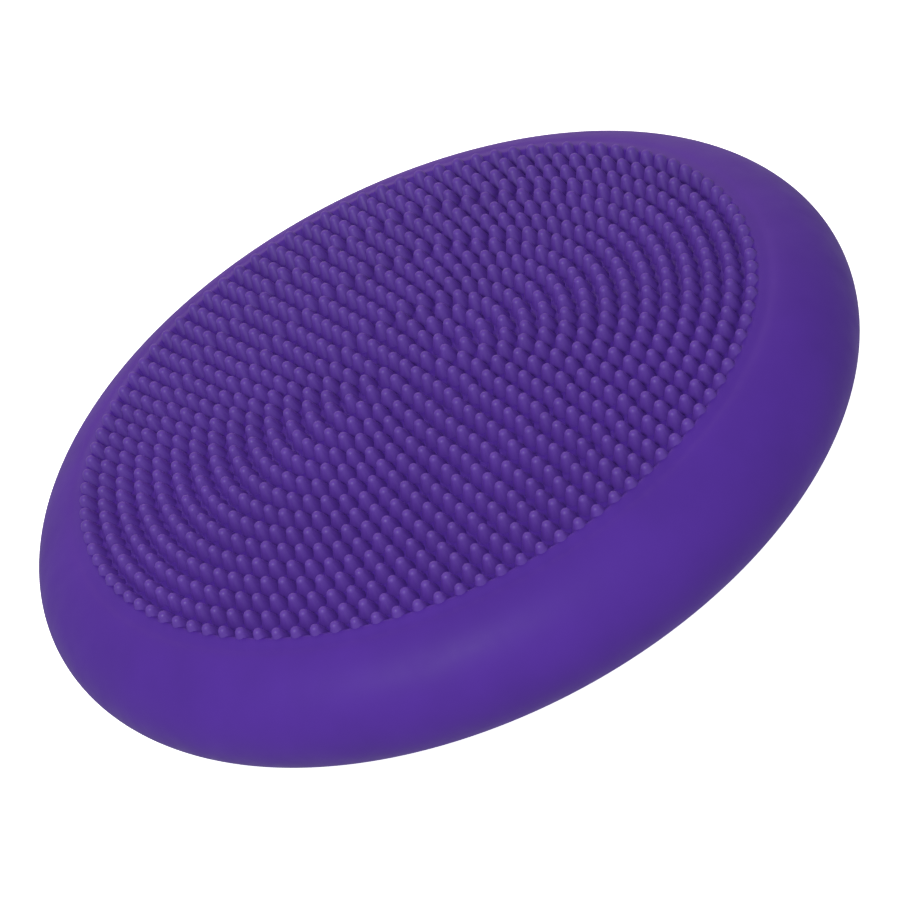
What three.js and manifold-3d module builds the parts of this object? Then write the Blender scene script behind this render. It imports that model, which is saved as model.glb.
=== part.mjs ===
// Wobble cushion: an inflated PVC disc with a massage-nub field on top, in mm, +Z up, resting on z = 0.
import * as THREE from 'three';
import { mergeVertices } from 'three/addons/utils/BufferGeometryUtils.js';
import Module from 'manifold-3d';

const wasm = await Module();
wasm.setup();

// Driving dimensions
const discRadius = 165; // outside radius at the equator
const wall = 3; // thickness of the moulded PVC skin
const shoulderRun = 0.21 * discRadius; // half-width of the rim's rounded section
const shoulderRise = 0.169 * discRadius; // half-height of the rim's rounded section
const crownRadius = 0.823 * discRadius; // where the domed face meets the rim's shoulder
const contactRadius = 40; // flat patch the cushion stands on
const nubTip = 2.8; // nub tips above the line of the rim's skin
const nubSink = 3.4; // how far the skin between the nubs lies under that line
const ringCount = 17; // rings of nubs round the middle one
const ringPitch = 0.0479 * discRadius;
const ringStart = 0.0027 * discRadius; // added to every ring's radius
const topPanelRadius = 139; // the face that tilts as the seat
const bottomPanelRadius = 147; // the face that stays on the floor
const flexGap = 0.8; // clearance where one zone of the skin flexes against the next
const splitGap = 0.3; // clearance between touching solids
const aroundDisc = 72; // facets round the disc
const aroundValve = 20; // facets round the valve
const sectionSteps = 8; // facets along each smooth stretch of the section

// Valve, measured along its own axis: 0 is the rim's surface and negative is inward
const valveTilt = 30; // degrees the valve points below the horizontal
const bossRadius = 8;
const bossFace = -1.3;
const bossEdge = 0.6; // chamfer round the face
const bossLength = 9;
const recessRadius = 6.2;
const recessDepth = 3;
const throatRadius = 3.6; // bore of the boss
const flangeRadius = 5.6;
const flangeThickness = 1.2;
const bodyLength = 14;
const bodyTaper = 2; // length of the narrowing at the valve's inner end
const needleBore = 1.35; // takes a ball-pump needle
const plugHeadRadius = 4.6;
const plugHeadThickness = 1.2;
const pinRadius = 1;
const pinTipRadius = 0.6;
const pinTaper = 1; // length of the narrowing at the pin's end
const pinLength = 11;

// Sizes that follow from them
const shoulderCentre = discRadius - shoulderRun;
const crownOffset = (crownRadius - shoulderCentre) / shoulderRun;
const crownEdge = shoulderRise * Math.sqrt(1 - crownOffset ** 2);
const crownSlope = (crownOffset * shoulderRise ** 2) / (shoulderRun * crownEdge);
const crownRise = (crownSlope * crownRadius) / 2;
const equatorHeight = skinHeight(contactRadius);

// Height of the skin above the equator at radius r, or of the surface that lies depth inside it
function skinHeight(r, depth = 0) {
  if (r <= crownRadius) {
    return crownEdge + crownRise * (1 - (r / crownRadius) ** 2) - depth;
  }
  const run = (r - shoulderCentre) / (shoulderRun - depth);
  return (shoulderRise - depth) * Math.sqrt(1 - run ** 2);
}

// Radii from one to the other in equal steps
function steps(from, to, count) {
  return Array.from({ length: count + 1 }, (_, i) => from + ((to - from) * i) / count);
}

// Solid of revolution round +Z from a profile that runs up its outer side
function turned(profile, facets) {
  const points = profile.map(([r, z]) => new THREE.Vector2(r, z));
  return new THREE.LatheGeometry(points, facets).rotateX(Math.PI / 2);
}

// Points of the rim's section from rimRadius to the equator, on the surface that lies depth inside
function shoulder(rimRadius, depth) {
  const run = shoulderRun - depth;
  const rise = shoulderRise - depth;
  const start = Math.acos((rimRadius - shoulderCentre) / run);
  const end = Math.asin(splitGap / 2 / rise);
  return steps(start, end, sectionSteps)
    .map((t) => [shoulderCentre + run * Math.cos(t), rise * Math.sin(t)]);
}

// The domed face. Each ring of nubs is one round ridge, with its crest at the height of the nub tips
function topPanel() {
  const depth = nubSink + wall;
  const inside = steps(0, topPanelRadius, sectionSteps)
    .map((r) => [r, equatorHeight + skinHeight(r, depth)]);
  const edge = [topPanelRadius, equatorHeight + skinHeight(topPanelRadius)];
  const fieldEdge = ringStart + (ringCount + 0.5) * ringPitch;
  const ridges = [[fieldEdge, equatorHeight + skinHeight(fieldEdge)]];
  for (let ring = ringCount; ring > 0; ring--) {
    const crest = ringStart + ring * ringPitch;
    const valley = crest - ringPitch / 2;
    ridges.push([crest, equatorHeight + skinHeight(crest) + nubTip]);
    ridges.push([valley, equatorHeight + skinHeight(valley) - nubSink]);
  }
  const middleNub = [0, equatorHeight + skinHeight(0) + nubTip];
  return turned([...inside, edge, ...ridges, middleNub], aroundDisc);
}

// The upper half of the rim
function upperRim() {
  const outside = shoulder(topPanelRadius + flexGap, 0).reverse();
  const inside = shoulder(topPanelRadius + flexGap, wall);
  const loop = [...outside, ...inside, outside[0]];
  return turned(loop.map(([r, z]) => [r, equatorHeight + z]), aroundDisc);
}

// The lower half of the rim, with a round hole that the valve collar sits in
function lowerRim() {
  const outside = shoulder(bottomPanelRadius + flexGap, 0);
  const inside = shoulder(bottomPanelRadius + flexGap, wall).reverse();
  const loop = [...outside, ...inside, outside[0]];
  const ring = turned(loop.map(([r, z]) => [r, equatorHeight - z]), aroundDisc);
  const holeRadius = bossRadius + splitGap;
  const reach = 2 * bossLength;
  const drill = [[0, -reach], [holeRadius, -reach], [holeRadius, reach], [0, reach]];
  const hole = atValve(turned(drill, aroundValve));
  return cut(ring, hole);
}

// The underside, with the flat patch it stands on
function bottomPanel() {
  const outside = steps(contactRadius, bottomPanelRadius, sectionSteps)
    .map((r) => [r, equatorHeight - skinHeight(r)]);
  const inside = steps(bottomPanelRadius, contactRadius, sectionSteps)
    .map((r) => [r, equatorHeight - skinHeight(r, wall)]);
  return turned([[0, 0], ...outside, ...inside, [0, wall]], aroundDisc);
}

// Moulded collar that holds the valve, open right through
function valveBoss() {
  const recessFloor = bossFace - recessDepth;
  const back = bossFace - bossLength;
  return turned([
    [throatRadius, back],
    [bossRadius, back],
    [bossRadius, bossFace - bossEdge],
    [bossRadius - bossEdge, bossFace],
    [recessRadius, bossFace],
    [recessRadius, recessFloor],
    [throatRadius, recessFloor],
    [throatRadius, back],
  ], aroundValve);
}

// Rubber needle valve pushed into the collar
function valveBody() {
  const seat = bossFace - recessDepth + splitGap;
  const top = seat + flangeThickness;
  const stem = throatRadius - splitGap;
  return turned([
    [needleBore, top - bodyLength],
    [stem - bossEdge, top - bodyLength],
    [stem, top - bodyLength + bodyTaper],
    [stem, seat],
    [flangeRadius, seat],
    [flangeRadius, top],
    [needleBore, top],
    [needleBore, top - bodyLength],
  ], aroundValve);
}

// Push-in plug: a flat head with a pin down the needle bore
function valvePlug() {
  const under = bossFace - recessDepth + splitGap + flangeThickness + splitGap;
  const top = under + plugHeadThickness;
  return turned([
    [0, under - pinLength],
    [pinTipRadius, under - pinLength],
    [pinRadius, under - pinLength + pinTaper],
    [pinRadius, under],
    [plugHeadRadius, under],
    [plugHeadRadius, top - bossEdge],
    [plugHeadRadius - bossEdge, top],
    [0, top],
  ], aroundValve);
}

// Puts a shape turned round +Z onto the rim's far side, pointing outward and down
function atValve(geometry) {
  const tilt = THREE.MathUtils.degToRad(valveTilt);
  const ratio = (Math.tan(tilt) * shoulderRise ** 2) / shoulderRun ** 2;
  const run = 1 / Math.sqrt(1 / shoulderRun ** 2 + ratio ** 2 / shoulderRise ** 2);
  return geometry
    .rotateX(-tilt - Math.PI / 2)
    .translate(0, shoulderCentre + run, equatorHeight - run * ratio);
}

// Welds a geometry's points so that it can be cut
function toManifold(geometry) {
  const bare = geometry.clone();
  bare.deleteAttribute('normal');
  bare.deleteAttribute('uv');
  const merged = mergeVertices(bare, 1e-4);
  const vertProperties = new Float32Array(merged.attributes.position.array);
  const triVerts = new Uint32Array(merged.index.array);
  return new wasm.Manifold(new wasm.Mesh({ numProp: 3, vertProperties, triVerts }));
}

// The geometry with the tool's space removed
function cut(geometry, tool) {
  const mesh = toManifold(geometry).subtract(toManifold(tool)).getMesh();
  const result = new THREE.BufferGeometry();
  result.setAttribute('position', new THREE.BufferAttribute(mesh.vertProperties, 3));
  result.setIndex(new THREE.BufferAttribute(mesh.triVerts, 1));
  return result;
}

const violet = 0x4e2f87;
const deepViolet = 0x3d2570;
const whitePlug = 0xe8e6ea;
const group = new THREE.Group();

function add(name, geometry, color, roughness) {
  const material = new THREE.MeshStandardMaterial({ color, roughness, metalness: 0 });
  const mesh = new THREE.Mesh(geometry, material);
  mesh.name = name;
  group.add(mesh);
}

add('top_panel', topPanel(), violet, 0.5);
add('upper_rim', upperRim(), violet, 0.45);
add('lower_rim', lowerRim(), violet, 0.45);
add('bottom_panel', bottomPanel(), violet, 0.5);
add('valve_boss', atValve(valveBoss()), violet, 0.5);
add('valve_body', atValve(valveBody()), deepViolet, 0.6);
add('valve_plug', atValve(valvePlug()), whitePlug, 0.4);

export default group;
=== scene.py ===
# Wobble cushion: the looks of an inflated PVC balance disc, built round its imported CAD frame.
# Metres, +Z up.
import math

import bpy
import numpy as np
from mathutils import Matrix, Vector


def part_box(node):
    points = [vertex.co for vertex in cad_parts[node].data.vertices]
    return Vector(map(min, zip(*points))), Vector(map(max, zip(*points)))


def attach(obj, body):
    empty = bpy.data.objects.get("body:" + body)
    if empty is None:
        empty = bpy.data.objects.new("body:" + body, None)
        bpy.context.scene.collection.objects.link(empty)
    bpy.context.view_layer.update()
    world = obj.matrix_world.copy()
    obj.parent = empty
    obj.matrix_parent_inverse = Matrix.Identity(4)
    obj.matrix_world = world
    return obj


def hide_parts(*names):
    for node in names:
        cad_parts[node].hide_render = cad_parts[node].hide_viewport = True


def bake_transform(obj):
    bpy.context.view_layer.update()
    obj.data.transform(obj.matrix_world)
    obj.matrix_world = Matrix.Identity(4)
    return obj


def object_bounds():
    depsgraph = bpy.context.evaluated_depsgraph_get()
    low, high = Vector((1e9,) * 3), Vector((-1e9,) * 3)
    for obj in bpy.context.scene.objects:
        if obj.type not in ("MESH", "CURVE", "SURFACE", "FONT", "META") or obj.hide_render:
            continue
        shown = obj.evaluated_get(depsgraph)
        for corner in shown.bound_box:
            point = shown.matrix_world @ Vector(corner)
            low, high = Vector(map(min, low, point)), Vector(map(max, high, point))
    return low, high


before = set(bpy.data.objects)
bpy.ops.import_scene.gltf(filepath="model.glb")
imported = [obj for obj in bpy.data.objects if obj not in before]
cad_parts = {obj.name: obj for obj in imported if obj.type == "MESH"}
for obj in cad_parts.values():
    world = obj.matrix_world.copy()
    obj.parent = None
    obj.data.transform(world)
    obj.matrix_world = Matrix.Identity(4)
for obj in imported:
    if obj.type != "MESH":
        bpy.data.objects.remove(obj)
cad_low, cad_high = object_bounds()

MM = 0.001

# Sizes that the frame gives
DISC_RADIUS = (cad_high.x - cad_low.x) / 2
EQUATOR = (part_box("upper_rim")[0].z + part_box("lower_rim")[1].z) / 2
FLOOR = cad_low.z
CROWN_TOP = cad_high.z

# The skin's section, as shares of the disc's radius, the same as in the CAD
SHOULDER_RUN = 0.21 * DISC_RADIUS
SHOULDER_RISE = 0.169 * DISC_RADIUS
SHOULDER_CENTRE = DISC_RADIUS - SHOULDER_RUN
CROWN_RADIUS = 0.823 * DISC_RADIUS
CROWN_EDGE = SHOULDER_RISE * math.sqrt(1 - ((CROWN_RADIUS - SHOULDER_CENTRE) / SHOULDER_RUN) ** 2)
CROWN_SLOPE = SHOULDER_RISE**2 * (CROWN_RADIUS - SHOULDER_CENTRE) / (SHOULDER_RUN**2 * CROWN_EDGE)
CROWN_RISE = CROWN_SLOPE * CROWN_RADIUS / 2
FLATTENING = 0.4 * MM  # the underside turns flat over this height
SEAM_STEP = 0.003  # radians: a very short first row keeps the shading level where the halves meet

# The massage field: a centre nub and rings of nubs round it
RING_COUNT = 17
RING_PITCH = 0.0479 * DISC_RADIUS
RING_START = 0.0027 * DISC_RADIUS
NUBS_PER_RING_STEP = 2 * math.pi * 0.99
SEED_ANGLE = math.radians(227.2)  # one nub of every ring lies on this ray
FIELD_EDGE = RING_START + (RING_COUNT + 0.5) * RING_PITCH

# Between the nubs the skin lies lower than the line of the rim's skin
FIELD_SINK = 3.4 * MM
SINK_EDGE = FIELD_EDGE - 0.25 * RING_PITCH
SINK_RUN = 0.5 * RING_PITCH

# A soft groove rings the field
GROOVE_DEPTH = 0.5 * MM
GROOVE_WIDTH = 2.2 * MM
GROOVE_RADIUS = FIELD_EDGE + GROOVE_WIDTH

# One nub, with its heights from the line of the rim's skin
NUB_TIP = CROWN_TOP - EQUATOR - CROWN_EDGE - CROWN_RISE
NUB_FOOT = -FIELD_SINK - 0.3 * MM
NUB_BASE = 0.51 * RING_PITCH  # the foot's radius
NUB_BALL = 0.26 * RING_PITCH  # the round tip's radius
NUB_TAPER = math.radians(23)  # how far the side leans in from upright
NUB_SIZE_SPREAD = 0.02

# The valve in the rim's far side
VALVE_TILT = math.radians(30)
COLLAR_RADIUS = 10 * MM
HOLE_RADIUS = 7.2 * MM

# Facets round each turned shape
SHELL_AROUND = 512
NUB_AROUND = 12
COLLAR_AROUND = 96
VALVE_AROUND = 64

# Linear colours
VIOLET = (0.063, 0.0175, 0.245)
# The nubs' colour is the rim's own PVC painted lighter: painted light that brightens the shaded nub field.
NUB_VIOLET_PAINTED_LIGHTER = (0.084, 0.029, 0.275)
DEEP_VIOLET = (0.045, 0.018, 0.150)
WHITE = (0.78, 0.77, 0.80)
FLOOR_GREY = (0.8, 0.8, 0.8)
WARM_GLOW = (1.0, 0.66, 0.55)

# How a moulded plastic varies over its surface
NOISE_LOW = 0.3  # most of a noise texture's values lie between these two
NOISE_HIGH = 0.7
MOTTLE_SCALE = 38
GLOSS_SCALE = 90
GLOSS_SPREAD = 0.05
GRAIN_STRENGTH = 0.35

# The camera: its place as an angle, a distance in disc radii and a roll
CAMERA_ELEVATION = math.radians(33.65)
CAMERA_DISTANCE = 14.0 * DISC_RADIUS
CAMERA_ROLL = math.radians(27.92)
CAMERA_LENS = 246.2
CAMERA_SENSOR = 36
CAMERA_REACH = 50
AIM_RIGHT = 0.0103 * DISC_RADIUS
AIM_UP = -0.0195 * DISC_RADIUS
AIM_HEIGHT = EQUATOR - 0.0118 * DISC_RADIUS

# The studio
FLOOR_HALF = 6
FLOOR_GAP = 0.1 * MM  # below the cushion, so that the two never share a plane
SKY_BEHIND = 0.5  # the sky's strength behind the object and on the camera's side of it
SKY_IN_FRONT = 1.0


def skin_height(r):
    """Height of the smooth skin above the equator plane at radius r."""
    r = np.asarray(r, float)
    crown = CROWN_EDGE + CROWN_RISE * (1 - (r / CROWN_RADIUS) ** 2)
    run = np.clip((r - SHOULDER_CENTRE) / SHOULDER_RUN, -1, 1)
    shoulder = SHOULDER_RISE * np.sqrt(1 - run**2)
    return np.where(r <= CROWN_RADIUS, crown, shoulder)


def skin_slope(r):
    """How steeply the skin falls outward at radius r."""
    step = 0.1 * MM
    return (skin_height(r - step) - skin_height(r + step)) / (2 * step)


def groove(r):
    """How far the groove lowers the skin at radius r, as a height below zero."""
    return -GROOVE_DEPTH * math.exp(-(((r - GROOVE_RADIUS) / GROOVE_WIDTH) ** 2))


def field_floor(r):
    """How far the skin drops under the nubs at radius r, as a height below zero."""
    t = min(max((SINK_EDGE - r) / SINK_RUN, 0), 1)
    return -FIELD_SINK * t * t * (3 - 2 * t)


def flattened(height):
    """A height above the floor, with the lowest stretch of the underside eased flat onto the floor."""
    if height >= FLATTENING:
        return height
    return max(height + FLATTENING, 0) ** 2 / (4 * FLATTENING)


def section(crown_rows, shoulder_rows):
    """(radius, height above the equator) along the skin, from the equator to the middle."""
    crown_angle = math.acos((CROWN_RADIUS - SHOULDER_CENTRE) / SHOULDER_RUN)
    turns = [0, SEAM_STEP, *np.linspace(0, crown_angle, shoulder_rows, endpoint=False)[1:]]
    shoulder = [(SHOULDER_CENTRE + SHOULDER_RUN * math.cos(t), SHOULDER_RISE * math.sin(t)) for t in turns]
    crown = [(r, float(skin_height(r))) for r in np.linspace(CROWN_RADIUS, 0, crown_rows)]
    return shoulder + crown


def mesh_object(name, points, faces, smooth=True):
    """A new mesh object with every face smooth or flat."""
    mesh = bpy.data.meshes.new(name)
    mesh.from_pydata([tuple(p) for p in points], [], [tuple(f) for f in faces])
    mesh.polygons.foreach_set("use_smooth", [smooth] * len(mesh.polygons))
    mesh.update()
    obj = bpy.data.objects.new(name, mesh)
    bpy.context.scene.collection.objects.link(obj)
    return obj


def turned_points(profile, around):
    """Points and faces of a profile of (radius, height) turned round +Z.

    With the radius drawn to the right and the height up, the faces look to the right of the profile's way.
    """
    angles = np.linspace(0, 2 * math.pi, around, endpoint=False)
    points = []
    rows = []
    for r, z in profile:
        on_axis = r < 1e-9
        if on_axis:
            rows.append([len(points)] * around)
            points.append((0, 0, z))
        else:
            rows.append(list(range(len(points), len(points) + around)))
            points += [(r * math.cos(a), r * math.sin(a), z) for a in angles]
    faces = []
    for low, high in zip(rows, rows[1:]):
        for i in range(around):
            j = (i + 1) % around
            face = [low[i], low[j], high[j], high[i]]
            faces.append(list(dict.fromkeys(face)))  # on the axis two corners are one point
    return points, [f for f in faces if len(f) > 2]


def make_upper_shell():
    rows = section(crown_rows=90, shoulder_rows=60)
    profile = [(r, EQUATOR + z + groove(r) + field_floor(r)) for r, z in rows]
    return mesh_object("upper_shell", *turned_points(profile, SHELL_AROUND))


def make_lower_shell():
    """The lower half, with a hole for the valve. The collar covers the hole's ragged edge."""
    rows = section(crown_rows=60, shoulder_rows=44)
    profile = [(r, FLOOR + flattened(EQUATOR - z - groove(r) - FLOOR)) for r, z in rows]
    points, faces = turned_points(profile[::-1], SHELL_AROUND)
    place, outward, _, _ = valve_frame()
    away = np.array(points) - np.array(place)
    along = away @ np.array(outward)
    beside = np.linalg.norm(away - np.outer(along, outward), axis=1)
    inside = (beside < HOLE_RADIUS) & (np.abs(along) < 2 * HOLE_RADIUS)
    kept = [f for f in faces if not inside[f].any()]
    used = sorted({i for f in kept for i in f})
    renumber = {old: new for new, old in enumerate(used)}
    return mesh_object("lower_shell", [points[i] for i in used], [[renumber[i] for i in f] for f in kept])


def nub_profile():
    """(radius, height) of one nub, from its foot up its tapered side and over its round tip."""
    profile = [(NUB_BASE, NUB_FOOT)]
    for angle in np.linspace(NUB_TAPER, math.pi / 2, 6):
        profile.append((NUB_BALL * math.cos(angle), NUB_TIP - NUB_BALL * (1 - math.sin(angle))))
    return profile


def nub_places():
    """(radius, angle) of every nub."""
    places = [(0.0, 0.0)]
    for ring in range(1, RING_COUNT + 1):
        count = math.floor(ring * NUBS_PER_RING_STEP)
        radius = RING_START + ring * RING_PITCH
        places += [(radius, SEED_ANGLE + 2 * math.pi * i / count) for i in range(count)]
    return places


def make_nub_field():
    """Every nub, square to the skin under it, each a little fatter or thinner than the next."""
    one, one_faces = turned_points(nub_profile(), NUB_AROUND)
    one = np.array(one)
    rng = np.random.default_rng(7)
    points = []
    faces = []
    for r, angle in nub_places():
        lean = math.atan(float(skin_slope(r)))
        turn = np.array(Matrix.Rotation(angle, 3, "Z") @ Matrix.Rotation(lean, 3, "Y"))
        foot = np.array((r * math.cos(angle), r * math.sin(angle), EQUATOR + float(skin_height(r))))
        size = 1 + NUB_SIZE_SPREAD * rng.standard_normal()
        shape = one * (size, size, 1)
        faces += [[i + len(points) for i in f] for f in one_faces]
        points += list(shape @ turn.T + foot)
    return mesh_object("nub_field", points, faces)


def valve_frame():
    """The valve's place on the skin, and its outward, sideways and up directions."""
    ratio = math.tan(VALVE_TILT) * SHOULDER_RISE**2 / SHOULDER_RUN**2
    run = 1 / math.sqrt(1 / SHOULDER_RUN**2 + ratio**2 / SHOULDER_RISE**2)
    place = Vector((0, SHOULDER_CENTRE + run, EQUATOR - run * ratio))
    outward = Vector((0, math.cos(VALVE_TILT), -math.sin(VALVE_TILT)))
    side = Vector((1, 0, 0))
    return place, outward, side, outward.cross(side)


def skin_beside_valve(u, v):
    """How far out along the valve's axis the skin lies at u sideways and v up from that axis."""
    place, outward, side, up = valve_frame()
    low = -10 * MM
    high = 5 * MM
    for _ in range(40):
        middle = (low + high) / 2
        p = place + outward * middle + side * u + up * v
        run = (math.hypot(p.x, p.y) - SHOULDER_CENTRE) / SHOULDER_RUN
        outside = run**2 + ((p.z - EQUATOR) / SHOULDER_RISE) ** 2 > 1
        low, high = (low, middle) if outside else (middle, high)
    return low


def make_valve_part(name, profile, around, follows_skin_from=None):
    """A turned valve part. Points further out than follows_skin_from rise and fall with the skin there."""
    place, outward, side, up = valve_frame()
    flat, faces = turned_points(profile, around)
    points = []
    for x, y, z in flat:
        if follows_skin_from is not None and math.hypot(x, y) > follows_skin_from:
            z += skin_beside_valve(x, y)
        points.append(place + side * x + up * y + outward * z)
    return mesh_object(name, points, faces)


def make_collar():
    """The moulded collar: a low round lip, the recess for the plug's head and the throat round the valve."""
    recess = 6.2 * MM
    throat = 3.6 * MM
    lip_top = 0.5 * MM
    recess_floor = -4.3 * MM
    throat_end = -10.3 * MM
    profile = [
        (COLLAR_RADIUS, -0.4 * MM),
        (COLLAR_RADIUS - 0.05 * MM, 0.1 * MM),
        (COLLAR_RADIUS - 0.35 * MM, 0.4 * MM),
        (COLLAR_RADIUS - 0.9 * MM, lip_top),
        (recess + 0.9 * MM, lip_top),
        (recess + 0.35 * MM, 0.35 * MM),
        (recess + 0.05 * MM, -0.1 * MM),
        (recess, -1.6 * MM),
        (recess, recess_floor + 0.2 * MM),
        (recess - 0.2 * MM, recess_floor),
        (throat, recess_floor),
        (throat, throat_end),
    ]
    return make_valve_part("valve_collar", profile, COLLAR_AROUND, follows_skin_from=recess + 0.01 * MM)


def make_valve_rubber():
    """The needle valve: a rubber stem with a bore, and a flange that sits on the recess's floor."""
    bore = 1.35 * MM
    stem = 3.3 * MM
    flange = 5.6 * MM
    flange_face = -2.8 * MM
    flange_back = -4.0 * MM
    inner_end = -16.6 * MM
    profile = [
        (bore, inner_end),
        (stem - 0.6 * MM, inner_end - 0.2 * MM),
        (stem, inner_end + 1.8 * MM),
        (stem, flange_back),
        (flange - 0.1 * MM, flange_back),
        (flange, flange_back + 0.2 * MM),
        (flange, flange_face - 0.3 * MM),
        (flange - 0.3 * MM, flange_face),
        (bore + 0.4 * MM, flange_face),
        (bore, flange_face - 0.3 * MM),
        (bore, inner_end),
    ]
    return make_valve_part("valve_rubber", profile, VALVE_AROUND)


def make_valve_cap():
    """The push-in plug: a pin, and a round head with a shallow dish in its face."""
    pin = 1.0 * MM
    head = 4.6 * MM
    head_face = -1.3 * MM
    dish_floor = -1.6 * MM
    head_back = -2.5 * MM
    pin_tip = -13.5 * MM
    profile = [
        (0, pin_tip),
        (0.6 * pin, pin_tip + 0.1 * MM),
        (pin, pin_tip + 1.0 * MM),
        (pin, head_back - 0.2 * MM),
        (pin + 0.2 * MM, head_back),
        (head - 0.2 * MM, head_back),
        (head, head_back + 0.2 * MM),
        (head, head_face - 0.4 * MM),
        (head - 0.3 * MM, head_face - 0.05 * MM),
        (head - 0.8 * MM, head_face),
        (head - 1.2 * MM, dish_floor),
        (0, dish_floor),
    ]
    return make_valve_part("valve_cap", profile, VALVE_AROUND)


def shader(material):
    return material.node_tree.nodes["Principled BSDF"]


def new_material(name, roughness, specular):
    material = bpy.data.materials.new(name)
    material.use_nodes = True
    bsdf = shader(material)
    bsdf.inputs["Roughness"].default_value = roughness
    bsdf.inputs["Specular IOR Level"].default_value = specular
    return material


def noise(tree, coordinates, scale, detail):
    node = tree.nodes.new("ShaderNodeTexNoise")
    node.inputs["Scale"].default_value = scale
    node.inputs["Detail"].default_value = detail
    tree.links.new(coordinates, node.inputs["Vector"])
    return node.outputs["Fac"]


def remap(tree, value, low, high, to_low, to_high):
    """The value with low to high spread over to_low to to_high."""
    node = tree.nodes.new("ShaderNodeMapRange")
    node.inputs["From Min"].default_value = low
    node.inputs["From Max"].default_value = high
    node.inputs["To Min"].default_value = to_low
    node.inputs["To Max"].default_value = to_high
    tree.links.new(value, node.inputs["Value"])
    return node.outputs["Result"]


def moulded_plastic(name, color, variation, roughness, specular, grain_size, grain_depth):
    """Satin moulded plastic: faint mottling in its colour and gloss, and a fine grain in its surface."""
    material = new_material(name, roughness, specular)
    bsdf = shader(material)
    tree = material.node_tree
    place = tree.nodes.new("ShaderNodeTexCoord").outputs["Object"]
    ramp = tree.nodes.new("ShaderNodeValToRGB")
    ends = ramp.color_ramp.elements
    ends[0].position = NOISE_LOW
    ends[1].position = NOISE_HIGH
    ends[0].color = (*[c * (1 - variation) for c in color], 1)
    ends[1].color = (*[c * (1 + variation) for c in color], 1)
    tree.links.new(noise(tree, place, MOTTLE_SCALE, 4), ramp.inputs["Fac"])
    tree.links.new(ramp.outputs["Color"], bsdf.inputs["Base Color"])
    cloud = noise(tree, place, GLOSS_SCALE, 5)
    gloss = remap(tree, cloud, NOISE_LOW, NOISE_HIGH, roughness - GLOSS_SPREAD, roughness + GLOSS_SPREAD)
    tree.links.new(gloss, bsdf.inputs["Roughness"])
    bump = tree.nodes.new("ShaderNodeBump")
    bump.inputs["Strength"].default_value = GRAIN_STRENGTH
    bump.inputs["Distance"].default_value = grain_depth
    tree.links.new(noise(tree, place, 1 / grain_size, 2), bump.inputs["Height"])
    tree.links.new(bump.outputs["Normal"], bsdf.inputs["Normal"])
    return material


def dress(obj, material):
    obj.data.materials.append(material)


def build_shell(skin, nub_skin_painted_lighter):
    """The upper shell, the nub field and the lower shell, in place of the CAD's panels and rims."""
    upper = make_upper_shell()
    dress(upper, skin)
    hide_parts("top_panel", "upper_rim")
    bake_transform(upper)
    nubs = make_nub_field()
    dress(nubs, nub_skin_painted_lighter)
    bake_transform(nubs)
    lower = make_lower_shell()
    dress(lower, skin)
    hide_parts("bottom_panel", "lower_rim")
    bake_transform(lower)


def build_valve(skin, rubber, plug):
    collar = make_collar()
    dress(collar, skin)
    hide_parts("valve_boss")
    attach(collar, "rim")
    body = make_valve_rubber()
    dress(body, rubber)
    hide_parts("valve_body")
    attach(body, "rim")
    cap = make_valve_cap()
    dress(cap, plug)
    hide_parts("valve_plug")
    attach(cap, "plug")


def build_object():
    skin = moulded_plastic(
        "satin_violet_pvc", VIOLET, variation=0.05,
        roughness=0.5, specular=0.14, grain_size=1.1 * MM, grain_depth=0.05 * MM,
    )
    # The nubs' skin is the rim's PVC painted lighter: painted light on the shaded nub field.
    nub_skin_painted_lighter = moulded_plastic(
        "nubbed_violet_pvc_painted_lighter", NUB_VIOLET_PAINTED_LIGHTER, variation=0.05,
        roughness=0.4, specular=0.3, grain_size=1.1 * MM, grain_depth=0.05 * MM,
    )
    rubber = moulded_plastic(
        "dark_valve_rubber", DEEP_VIOLET, variation=0.08,
        roughness=0.6, specular=0.4, grain_size=0.6 * MM, grain_depth=0.03 * MM,
    )
    plug = moulded_plastic(
        "white_plug_plastic", WHITE, variation=0.02,
        roughness=0.38, specular=0.5, grain_size=0.8 * MM, grain_depth=0.02 * MM,
    )
    build_shell(skin, nub_skin_painted_lighter)
    build_valve(skin, rubber, plug)


def make_camera():
    """The camera. Gives back its right, up and ahead directions."""
    ahead = Vector((0, math.cos(CAMERA_ELEVATION), -math.sin(CAMERA_ELEVATION)))
    level_up = Vector((0, math.sin(CAMERA_ELEVATION), math.cos(CAMERA_ELEVATION)))
    level_right = Vector((1, 0, 0))
    right = level_right * math.cos(CAMERA_ROLL) - level_up * math.sin(CAMERA_ROLL)
    up = level_right * math.sin(CAMERA_ROLL) + level_up * math.cos(CAMERA_ROLL)
    place = Vector((0, 0, AIM_HEIGHT)) + right * AIM_RIGHT + up * AIM_UP - ahead * CAMERA_DISTANCE
    camera = bpy.data.objects.new("camera", bpy.data.cameras.new("camera"))
    camera.data.lens = CAMERA_LENS
    camera.data.sensor_width = CAMERA_SENSOR
    camera.data.clip_end = CAMERA_REACH
    turn = Matrix((right, up, -ahead)).transposed().to_4x4()
    camera.matrix_world = Matrix.Translation(place) @ turn
    bpy.context.scene.collection.objects.link(camera)
    bpy.context.scene.camera = camera
    return right, up, ahead


def make_sky(up, ahead):
    """A white sky, brighter on the camera's side and below than behind the object and above."""
    world = bpy.data.worlds.new("studio")
    world.use_nodes = True
    tree = world.node_tree
    background = tree.nodes["Background"]
    background.inputs["Color"].default_value = (1, 1, 1, 1)
    facing = tree.nodes.new("ShaderNodeVectorMath")
    facing.operation = "DOT_PRODUCT"
    facing.inputs[1].default_value = (-ahead - up * 0.4).normalized()
    tree.links.new(tree.nodes.new("ShaderNodeTexCoord").outputs["Generated"], facing.inputs[0])
    strength = remap(tree, facing.outputs["Value"], -0.6, 0.9, SKY_BEHIND, SKY_IN_FRONT)
    tree.links.new(strength, background.inputs["Strength"])
    bpy.context.scene.world = world


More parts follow.
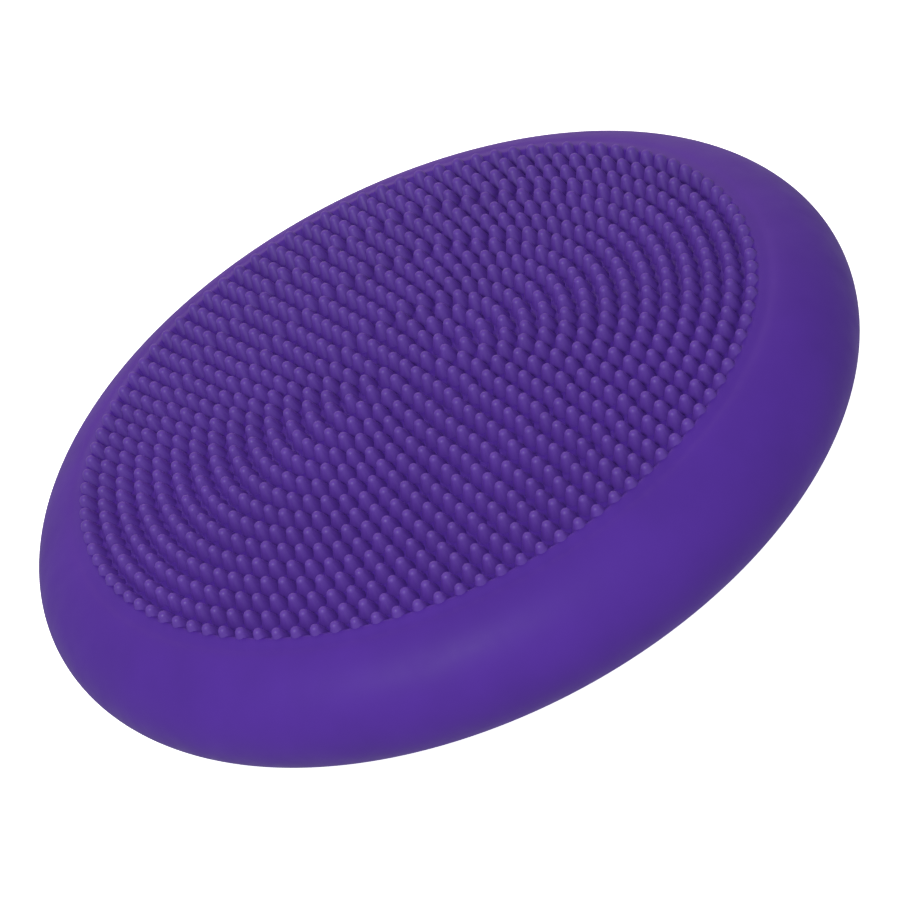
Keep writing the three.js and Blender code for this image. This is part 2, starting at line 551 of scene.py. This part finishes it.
def make_light(name, place, size, power, color=(1, 1, 1), shines=True):
    """A round light that faces the cushion. One that doesn't shine leaves no highlight."""
    data = bpy.data.lights.new(name, "AREA")
    data.shape = "DISK"
    data.size = size
    data.energy = power
    data.color = color
    light = bpy.data.objects.new(name, data)
    light.visible_glossy = shines
    light.location = place
    light.rotation_euler = (Vector((0, 0, EQUATOR)) - Vector(place)).to_track_quat("-Z", "Y").to_euler()
    bpy.context.scene.collection.objects.link(light)


def make_studio(right, up, ahead):
    make_sky(up, ahead)
    make_light("key", -ahead * 1.4 + up * 0.3 - right * 0.7, size=0.4, power=10)
    far_side = up * 1.2 + ahead * 0.9 - right * 0.4
    make_light("far_glow", far_side, size=1.4, power=19, color=WARM_GLOW, shines=False)
    bpy.context.scene.view_settings.view_transform = "Standard"


def make_floor():
    """A plain white floor that is clear when looked at from below, so that the underside can be seen."""
    level = FLOOR - FLOOR_GAP
    corners = [(x * FLOOR_HALF, y * FLOOR_HALF, level) for x, y in ((-1, -1), (1, -1), (1, 1), (-1, 1))]
    floor = mesh_object("floor", corners, [(0, 1, 2, 3)], smooth=False)
    material = new_material("pale_floor", roughness=0.8, specular=0.0)
    bsdf = shader(material)
    bsdf.inputs["Base Color"].default_value = (*FLOOR_GREY, 1)
    bsdf.inputs["Emission Color"].default_value = (1, 1, 1, 1)
    bsdf.inputs["Emission Strength"].default_value = 1.0
    tree = material.node_tree
    from_below = tree.nodes.new("ShaderNodeNewGeometry").outputs["Backfacing"]
    mix = tree.nodes.new("ShaderNodeMixShader")
    tree.links.new(from_below, mix.inputs["Fac"])
    tree.links.new(bsdf.outputs["BSDF"], mix.inputs[1])
    tree.links.new(tree.nodes.new("ShaderNodeBsdfTransparent").outputs["BSDF"], mix.inputs[2])
    tree.links.new(mix.outputs["Shader"], tree.nodes["Material Output"].inputs["Surface"])
    floor.data.materials.append(material)
    floor.visible_glossy = False
    floor.visible_diffuse = False
    floor.visible_shadow = False


build_object()
make_studio(*make_camera())
make_floor()
